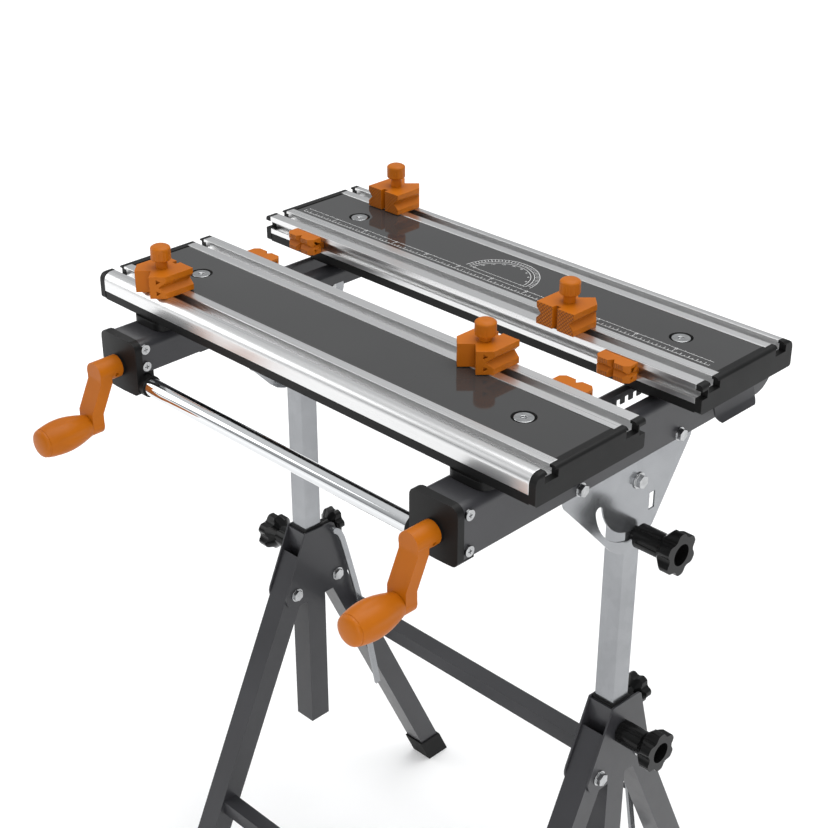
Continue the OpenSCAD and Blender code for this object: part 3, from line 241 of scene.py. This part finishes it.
# %% [markdown]
# The four rails are aluminium, pressed hot through a die. The die leaves fine lines along the rail, so
# the noise is stretched a few hundred times along X and drives the roughness and a slight bump. An
# anisotropic shader would also do, but it needs tangents, and the lines themselves show close by.

# %% Drawn aluminium
def drawn_aluminium():
    finish = Finish("drawn_aluminium", Metallic=1.0, IOR=1.4)
    lines = finish.noise(700, (0.003, 1, 1), detail=3)
    cloud = finish.noise(9, (0.2, 1, 1), detail=2)
    finish.set("Base Color", finish.shades(lines * 0.5 + cloud * 0.5, [
        (0.3, grey(0.66)), (0.7, grey(0.74))]))
    finish.set("Roughness", 0.22 + lines * 0.10 + cloud * 0.04)
    finish.bump(lines, 0.06, 0.0002)
    return finish.material


aluminium = drawn_aluminium()
print(aluminium.name)

# %% [markdown]
# Zinc comes in three looks here. The tilt plates, uprights and stays are cut from galvanised sheet,
# which is a soft mirror with a faint patchwork of crystals: cells of a Voronoi pattern do that. The
# fasteners are zinc plated, brighter and cloudier, and the tube between the beams is chromed.

# %% Zinc coats: on the plates and tubes, and on the fasteners
def galvanised_sheet():
    finish = Finish("galvanised_sheet", Metallic=0.85, IOR=1.4)
    cells = finish.node("ShaderNodeTexVoronoi", {"feature": "F1"}, {
        "Vector": finish.place(), "Scale": 90.0, "Randomness": 1.0}, "Color")
    tone = finish.node("ShaderNodeSeparateColor", None, {"Color": cells}, "Red")
    cloud = finish.noise(7, detail=3)
    finish.set("Base Color", finish.shades(tone * 0.10 + cloud * 0.90, [
        (0.25, (0.26, 0.267, 0.278)), (0.75, (0.37, 0.379, 0.392))]))
    finish.set("Roughness", 0.15 + tone * 0.03 + cloud * 0.06)
    return finish.material


def zinc_plated():
    finish = Finish("zinc_plated", Metallic=1.0, IOR=1.4)
    cloud = finish.noise(160, detail=2)
    finish.set("Base Color", finish.shades(cloud, [(0.3, (0.38, 0.385, 0.39)), (0.7, (0.50, 0.505, 0.51))]))
    finish.set("Roughness", 0.14 + cloud * 0.12)
    return finish.material


def chromed_tube():
    finish = Finish("chromed_tube", Metallic=1.0, Base_Color=(0.70, 0.71, 0.72), IOR=1.4)
    finish.set("Roughness", 0.04 + finish.noise(40, (0.05, 1, 1)) * 0.04)
    return finish.material


galvanised, zinc, chrome = galvanised_sheet(), zinc_plated(), chromed_tube()
print(galvanised.name, zinc.name, chrome.name)

# %% [markdown]
# The mouldings share one recipe, because a mould's texture is the same thing on each: dull black on
# caps and bases, glossy black on the knobs that a hand turns, orange on all that the user adjusts.
# The panels are board with a smooth dark film, so they mirror what stands on them.

# %% Plastics, the panels' coating and rubber
def moulded(name, dark, light, rough, grain=0.10, shine=0.14):
    finish = Finish(name, Specular_IOR_Level=shine)
    cloud = finish.noise(18, detail=3)
    finish.set("Base Color", finish.shades(cloud, [(0.3, dark), (0.7, light)]))
    finish.set("Roughness", rough + finish.noise(45) * 0.10)
    finish.bump(finish.noise(1500, detail=1), grain, 0.0002)
    return finish.material


black = moulded("black_plastic", grey(0.006), grey(0.009), 0.36)
ORANGE_DARK, ORANGE_LIGHT = (0.37, 0.097, 0.0015), (0.43, 0.116, 0.002)
orange = moulded("orange_plastic", ORANGE_DARK, ORANGE_LIGHT, 0.36, 0.06, 0.18)
glossy_black = moulded("glossy_black", grey(0.004), grey(0.007), 0.12, 0.03, 0.17)
rubber = moulded("black_rubber", grey(0.012), grey(0.018), 0.66, 0.25)


def coated_panel():
    finish = Finish("coated_panel", Specular_IOR_Level=0.38)
    cloud = finish.noise(7, detail=4)
    finish.set("Base Color", finish.shades(cloud, [(0.3, grey(0.032)), (0.7, grey(0.037))]))
    finish.set("Roughness", 0.05 + finish.noise(30) * 0.03)
    return finish.material


panel_coat = coated_panel()
print(black.name, orange.name, glossy_black.name, rubber.name, panel_coat.name)

# %% [markdown]
# The gripping faces of the dogs carry a diamond knurl: two sets of crossing grooves, only where the
# face looks along Y. The side dogs have one set of upright ribs there. Cut as a mesh, the knurl would
# take more triangles than the rest of the bench, and at this depth a bump looks the same. The grooves
# are also coloured dark brown: that is painted shade, standing in for the shadow that falls in them.

# %% Gripping faces
def gripping_orange(name, crossed, pitch):
    finish = Finish(name, Specular_IOR_Level=0.18)
    x = finish.node("ShaderNodeSeparateXYZ", None, {"Vector": finish.place()}, "X")
    z = Wire(finish, x.socket.node.outputs["Z"])
    facing = finish.node("ShaderNodeSeparateXYZ", None, {
        "Vector": finish.node("ShaderNodeTexCoord", out="Normal")}, "Y")
    ridges = [finish.node("ShaderNodeMath", {"operation": "PINGPONG"}, {0: side, 1: pitch}) / pitch
              for side in ((x + z, x - z) if crossed else (x, x))]
    groove = ridges[0].maths("MINIMUM", *ridges)
    face = facing.maths("ABSOLUTE", facing) > 0.97
    # The mask below marks the grooves for painted shade: their colour is darkened where shadow would fall in them,
    # because they are only a bump.
    groove_shade = face * (groove < 0.26)
    cloud = finish.noise(18, detail=3)
    plain = finish.shades(cloud, [(0.3, ORANGE_DARK), (0.7, ORANGE_LIGHT)])
    # Painted shade: inside the grooves the orange is mixed three quarters of the way towards dark brown.
    finish.set("Base Color", finish.mix(groove_shade * 0.75, plain, (0.10, 0.022, 0.002)))
    finish.set("Roughness", 0.42 + finish.noise(45) * 0.10)
    finish.bump(face * groove.maths("MINIMUM", groove, 0.5), 0.8, 0.0012)
    return finish.material


KNURL_PITCH, RIB_PITCH = 2.1 * MM, 1.1 * MM
knurled = gripping_orange("knurled_orange", True, KNURL_PITCH)
ribbed = gripping_orange("ribbed_orange", False, RIB_PITCH)
print(knurled.name, ribbed.name)

# %% [markdown]
# ## Rounded edges
# No real edge is sharp: sheet is rolled, plastic is moulded with a radius, and an extrusion's corner
# is a few tenths of a millimetre. That thin rounding catches the light and is most of what makes a
# render look solid. The exact model's triangles can't be bevelled as they are, so a copy of each is
# welded, its flat faces are made one polygon each, and a bevel runs along the sharp edges that are left.

# %% A rounded copy of an exact piece
BEVEL_STEPS = 3


def finish_piece(name, mesh, body, material, replaces=()):
    piece = bpy.data.objects.new(name, mesh)
    bpy.context.scene.collection.objects.link(piece)
    if not mesh.materials:
        mesh.materials.append(material)
    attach(piece, body)
    if replaces:
        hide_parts(*replaces)
    return piece


def rounded(node, radius, material):
    mesh = bpy.data.meshes.new(node + "_rounded")
    work = bmesh.new()
    work.from_mesh(nodes[node].data)
    bmesh.ops.remove_doubles(work, verts=work.verts, dist=2e-6)
    bmesh.ops.dissolve_limit(work, angle_limit=math.radians(0.6), verts=work.verts, edges=work.edges,
                             delimit={"NORMAL"})
    for face in work.faces:
        face.smooth = True
    work.to_mesh(mesh)
    work.free()
    mesh.materials.clear()
    piece = finish_piece(node + "_rounded", mesh, body_of[node], material, (node,))
    bevel = piece.modifiers.new("edges", "BEVEL")
    bevel.width, bevel.segments = radius, BEVEL_STEPS
    bevel.limit_method, bevel.angle_limit = "ANGLE", math.radians(32)
    bevel.use_clamp_overlap = True
    flat = piece.modifiers.new("flat_faces", "WEIGHTED_NORMAL")
    flat.weight, flat.keep_sharp = 90, True
    return piece


# %% [markdown]
# How round an edge is follows from how the piece is made: little more than half a millimetre where
# sheet is cut, one or two where tube is folded, about one on most mouldings. These are guesses, because
# the photograph only shows that the edges shine. The width could be set piece by piece in Blender's
# side panel, but one table, ordered by finish, shows all of them together.

# %% Sheet, tube, castings and mouldings
ROUNDED = {
    paint: {"sleeves": 1.0, "brackets": 0.8, "front_leg_frame": 2.2, "rear_leg_frame": 1.8,
            "beam_left": 0.5, "beam_right": 0.5, "release_lever_left": 0.6, "release_lever_right": 0.6},
    galvanised: {"uprights": 2.0, "tilt_plates": 0.6, "leg_stays": 0.8},
    black: {"sleeve_guides": 0.8, "beam_cap_left": 2.2, "beam_cap_right": 2.2,
            "front_end_caps": 0.8, "rear_end_caps": 0.8, "front_base": 0.8, "rear_base": 0.8,
            "front_glides": 1.5, "rear_glides": 1.0},
    glossy_black: {n: 1.1 for n in nodes if n.startswith(("tilt_knob", "height_knob", "clamp_knob"))},
    rubber: {"front_feet": 1.8, "rear_feet": 1.8},
    zinc: {"pivot_bolts": 0.5, "plate_bolts": 0.5, "leg_pivot_bolts": 0.5, "cap_screws": 0.5,
           "front_panel_bolts": 0.6, "rear_panel_bolts": 0.6},
    aluminium: {"front_outer_rail": 0.6, "front_inner_rail": 0.6,
                "rear_outer_rail": 0.6, "rear_inner_rail": 0.6},
    panel_coat: {"front_panel": 0.3, "rear_panel": 0.3},
    knurled: {n: 0.8 for n in nodes if n.startswith(("dog_front", "dog_rear"))},
    ribbed: {n: 0.8 for n in nodes if n.startswith("side_dog")},
    orange: {"crank_left": 1.2, "crank_right": 1.2},
}
for material, batch in ROUNDED.items():
    for node, radius in batch.items():
        rounded(node, radius * MM, material)
print(sum(len(b) for b in ROUNDED.values()), "pieces rounded")

# %% [markdown]
# The chromed tube and the two lead screws have no edge that shows, so they stay the exact pieces that
# they are. They only get their metal and smooth shading.

# %% What stays as it is
for material, names in {chrome: ["tie_tube"], zinc: ["lead_screw_left", "lead_screw_right"]}.items():
    for n in names:
        nodes[n].data.materials.clear()
        nodes[n].data.materials.append(material)
        for p in nodes[n].data.polygons:
            p.use_smooth = True
        nodes[n].data.set_sharp_from_angle(angle=math.radians(35))
print("the tube and the screws are bare metal")

# %% [markdown]
# ## Turned grips and ribbed knobs
# The crank grips are turned barrels with soft finger flutes and a parting ring before the domed end.
# The dogs' knobs are moulded, with ribs under a plain crown. Both are a profile spun round an axis,
# with the radius also a function of the angle: a lathe modifier can't do the flutes, so the rings of
# points are written out here.

# %% A spun shape
def spun(name, axis, start, length, radius_at, body, material, replaces, rings, around=96):
    along = Vector(axis).normalized()
    side = along.orthogonal().normalized()
    other = along.cross(side)
    work = bmesh.new()
    loops = []
    for t in rings:
        loops.append([work.verts.new(start + along * length * t + (
            side * math.cos(turn) + other * math.sin(turn)) * radius_at(t, turn))
            for turn in (2 * math.pi * k / around for k in range(around))])
    for low, high in zip(loops, loops[1:]):
        for k in range(around):
            work.faces.new((low[k], low[(k + 1) % around], high[(k + 1) % around], high[k]))
    work.faces.new(loops[0][::-1])
    work.faces.new(loops[-1])
    bmesh.ops.recalc_face_normals(work, faces=work.faces)
    for face in work.faces:
        face.smooth = True
    mesh = bpy.data.meshes.new(name)
    work.to_mesh(mesh)
    work.free()
    mesh.set_sharp_from_angle(angle=math.radians(50))
    return finish_piece(name, mesh, body, material, replaces)


def even(first, last, steps):
    return [first + (last - first) * k / steps for k in range(steps + 1)]


# %% Crank grips
GRIP_RING = 0.90
GRIP_FLUTES, FLUTE_DEPTH, RING_DEPTH = 5, 0.9 * MM, 0.5 * MM


def grip_radius(widest):
    def radius(t, turn):
        if t <= GRIP_RING:
            r = widest * (0.33 + 0.17 * math.sin(math.radians(t / GRIP_RING * 150)))
            window = max(0.0, math.sin(math.pi * min(1, max(0, (t - 0.12) / 0.66)))) ** 0.7
            flute = max(0.0, math.cos(GRIP_FLUTES * turn)) ** 2
            r -= FLUTE_DEPTH * window * flute
            return r - RING_DEPTH * (t > GRIP_RING - 0.012)
        dome = (t - GRIP_RING) / (1 - GRIP_RING)
        return max(0.2 * MM, widest * 0.405 * math.sqrt(max(0.0, 1 - dome ** 2.6)))
    return radius


for side in ("left", "right"):
    lo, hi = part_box("grip_" + side)
    middle = (lo + hi) / 2
    rings = even(0, GRIP_RING - 0.014, 44) + [GRIP_RING - 0.010, GRIP_RING] + [
        GRIP_RING + (1 - GRIP_RING) * math.sin(math.radians(a)) for a in even(4, 90, 12)]
    spun("barrel_" + side, (0, -1, 0), Vector((middle.x, hi.y, middle.z)), hi.y - lo.y,
         grip_radius(hi.x - lo.x), body_of["grip_" + side], orange, ("grip_" + side,), rings)
print("two grips")

# %% [markdown]
# A dog is held by a knob that a finger and a thumb turn: a stud down through the block, a narrow
# neck, and a head with shallow grooves that leave ribs between them. The grooves could be cut with a
# boolean, but the radius of a spun shape takes them in directly. Where the outline has a step, two
# rings lie close together, so that the step stays sharp.

# %% Knobs on the dogs
KNOB_HEAD, KNOB_NECK, KNOB_STUD = 16 * MM, 6.5 * MM, 4 * MM
KNOB_RIBS, RIB_DEPTH, CROWN_DROP = 12, 0.45 * MM, 3.6 * MM


def dog_knob_radius(height, wide, block_top):
    def radius(t, turn):
        z = height * t
        if z < block_top:
            return KNOB_STUD
        into = z - (height - KNOB_HEAD)
        if into < 0:
            return KNOB_NECK
        part = into / KNOB_HEAD
        rib = RIB_DEPTH * max(0.0, math.cos(KNOB_RIBS * turn)) ** 4 * (0.06 < part < 0.62)
        foot = 0.9 * MM * max(0.0, 1 - part / 0.07)
        crown = wide * 0.5 - (max(0.0, part - 0.80) / 0.20) ** 2.2 * CROWN_DROP
        return crown - foot - rib
    return radius


for node in [n for n in nodes if n.startswith("dog_knob")]:
    lo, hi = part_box(node)
    middle = (lo + hi) / 2
    top_of_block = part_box(node.replace("dog_knob", "dog"))[1].z - lo.z
    height = hi.z - lo.z
    step = 0.05 * MM / height
    neck_at, head_at = top_of_block / height, 1 - KNOB_HEAD / height
    rings = [0, neck_at - step, neck_at + step, head_at - step, head_at + step] + even(
        head_at + 3 * step, 1, 40)
    spun(node.replace("dog_knob", "ribbed"), (0, 0, 1), Vector((middle.x, middle.y, lo.z)), height,
         dog_knob_radius(height, hi.x - lo.x, top_of_block), body_of[node], orange, (node,), rings, 120)
print("four ribbed knobs")

# %% [markdown]
# ## The printed scale
# A ruler runs along the rear panel's front edge and half a protractor stands behind its middle. A
# print is only a few hundredths of a millimetre thick, so it is thin strips that float just over the
# panel. A texture would blur at this size, and strips stay sharp at any distance.

# %% Ruler and protractor
white_print = Finish("white_print", Roughness=0.5)
ink = white_print.noise(300)
white_print.set("Base Color", white_print.shades(ink, [(0.3, grey(0.60)), (0.7, grey(0.68))]))
panel_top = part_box("rear_panel")[1].z + 0.05 * MM
jaw_corner = Vector((jaw_box[0].x, jaw_box[0].y, panel_top))


def on_panel(x, y):
    return jaw_corner + Vector((x, y, 0)) * MM


def strip(work, first, last, width):
    first, last = on_panel(*first), on_panel(*last)
    across = (last - first).cross(Vector((0, 0, 1))).normalized() * width * MM / 2
    corners = (first + across, last + across, last - across, first - across)
    work.faces.new([work.verts.new(p) for p in corners])


def number(work, value, at, size, turn=0.0):
    curve = bpy.data.curves.new("number", "FONT")
    curve.body, curve.size, curve.align_x, curve.align_y = str(value), size * MM, "CENTER", "CENTER"
    maker = bpy.data.objects.new("number", curve)
    mesh = bpy.data.meshes.new_from_object(maker)
    mesh.transform(Matrix.Translation(on_panel(*at)) @ Matrix.Rotation(turn, 4, "Z"))
    work.from_mesh(mesh)
    bpy.data.objects.remove(maker)
    bpy.data.meshes.remove(mesh)


RULER_START, RULER_END, RULER_Y = 20, 615, 285
RULER_STEP, RULER_DEPTH = 5, 9.5
DIAL, DIAL_RADII = (320, 302), (47, 41, 37)
print_work = bmesh.new()
for y in (RULER_Y, RULER_Y + RULER_DEPTH):
    strip(print_work, (RULER_START, y), (RULER_END, y), 0.5)
for k in range((RULER_END - RULER_START) // RULER_STEP + 1):
    x = RULER_START + RULER_STEP * k
    tick = 5.5 if k % 10 == 0 else 4.2 if k % 2 == 0 else 2.6
    strip(print_work, (x, RULER_Y), (x, RULER_Y + tick), 0.6)
    if k % 2 == 0:
        strip(print_work, (x, RULER_Y + RULER_DEPTH), (x, RULER_Y + RULER_DEPTH + 1.5), 0.5)
    if k and k % 10 == 0:
        number(print_work, k // 2, (x, RULER_Y + 7.6), 4.2)
for radius in DIAL_RADII:
    for a in range(0, 180, 4):
        ends = [(DIAL[0] + radius * math.cos(math.radians(b)), DIAL[1] + radius * math.sin(math.radians(b)))
                for b in (a, a + 4)]
        strip(print_work, *ends, 0.6)
for a in range(0, 181, 5):
    ray = Vector((math.cos(math.radians(a)), math.sin(math.radians(a))))
    inner = DIAL_RADII[1] + 1.5 if a % 10 else DIAL_RADII[1]
    strip(print_work, Vector(DIAL) + ray * inner, Vector(DIAL) + ray * DIAL_RADII[0], 0.55)
    if a % 20 == 0:
        number(print_work, a, Vector(DIAL) + ray * (DIAL_RADII[2] - 3), 3.2, math.radians(a - 90))
strip(print_work, (DIAL[0] - DIAL_RADII[0], DIAL[1]), (DIAL[0] + DIAL_RADII[0], DIAL[1]), 0.5)
scale_mesh = bpy.data.meshes.new("printed_scale")
print_work.to_mesh(scale_mesh)
print_work.free()
finish_piece("printed_scale", scale_mesh, "rear_jaw", white_print.material)
print("the scale has", len(scale_mesh.polygons), "faces")

# %% [markdown]
# ## The studio
# A white floor without an end and three large soft lights give the even light of a catalogue. The
# floor glows a little, and more so further off: near the bench it must not light the black mouldings
# from below, and far away it must still be white. Metal shows what stands round it, so the lights are
# big, and the sky near the horizon is darker than the floor: that draws the dark lines on the rails.

# %% Floor, sky and lights
FLOOR_HALF, FLOOR_FADE = 30, 6
floor_mesh = bpy.data.meshes.new("floor")
floor_mesh.from_pydata([
    (-FLOOR_HALF, -FLOOR_HALF, 0), (FLOOR_HALF, -FLOOR_HALF, 0),
    (FLOOR_HALF, FLOOR_HALF, 0), (-FLOOR_HALF, FLOOR_HALF, 0)], [], [(0, 1, 2, 3)])
floor = bpy.data.objects.new("floor", floor_mesh)
bpy.context.scene.collection.objects.link(floor)
floor_finish = Finish("pale_floor", Roughness=0.9, Emission_Strength=1.0)
cloud = floor_finish.noise(2)
floor_finish.set("Base Color", floor_finish.shades(cloud, [(0.4, grey(0.86)), (0.6, grey(0.88))]))
away = floor_finish.node("ShaderNodeVectorMath", {"operation": "LENGTH"}, {
    0: floor_finish.place()}, "Value")
floor_finish.set("Emission Color", floor_finish.shades(away / FLOOR_FADE, [
    (0.16, grey(0.14)), (0.5, grey(0.50))]))
floor_mesh.materials.append(floor_finish.material)

SKY_STRENGTH = 0.8
sky = bpy.data.worlds.new("sky")
bpy.context.scene.world = sky
sky.use_nodes = True
air = Nodes(sky.node_tree)
height = air.node("ShaderNodeSeparateXYZ", None, {
    "Vector": air.node("ShaderNodeTexCoord", out="Generated")}, "Z")
tint = air.shades(height, [(0.0, (0.34, 0.35, 0.36)), (0.75, (0.98, 0.99, 1.0))])
background = air.tree.nodes["Background"]
air.tree.links.new(tint.socket, background.inputs["Color"])
background.inputs["Strength"].default_value = SKY_STRENGTH


def soft_light(name, place, size, power, target=Vector((0, 0, 0.75))):
    light = bpy.data.lights.new(name, "AREA")
    light.shape, light.size, light.size_y, light.energy = "RECTANGLE", size[0], size[1], power
    lamp = bpy.data.objects.new(name, light)
    lamp.location = place
    lamp.rotation_mode = "QUATERNION"
    lamp.rotation_quaternion = (target - Vector(place)).to_track_quat("-Z", "Y")
    bpy.context.scene.collection.objects.link(lamp)
    return lamp


soft_light("overhead", (0.2, 0.6, 3.2), (2.6, 2.2), 52)
soft_light("from_left", (-2.6, -1.4, 1.9), (1.8, 1.8), 24)
soft_light("from_right", (2.4, -1.9, 1.5), (1.6, 2.0), 30)
bpy.context.scene.view_settings.view_transform = "Standard"
bpy.context.scene.view_settings.look = "None"
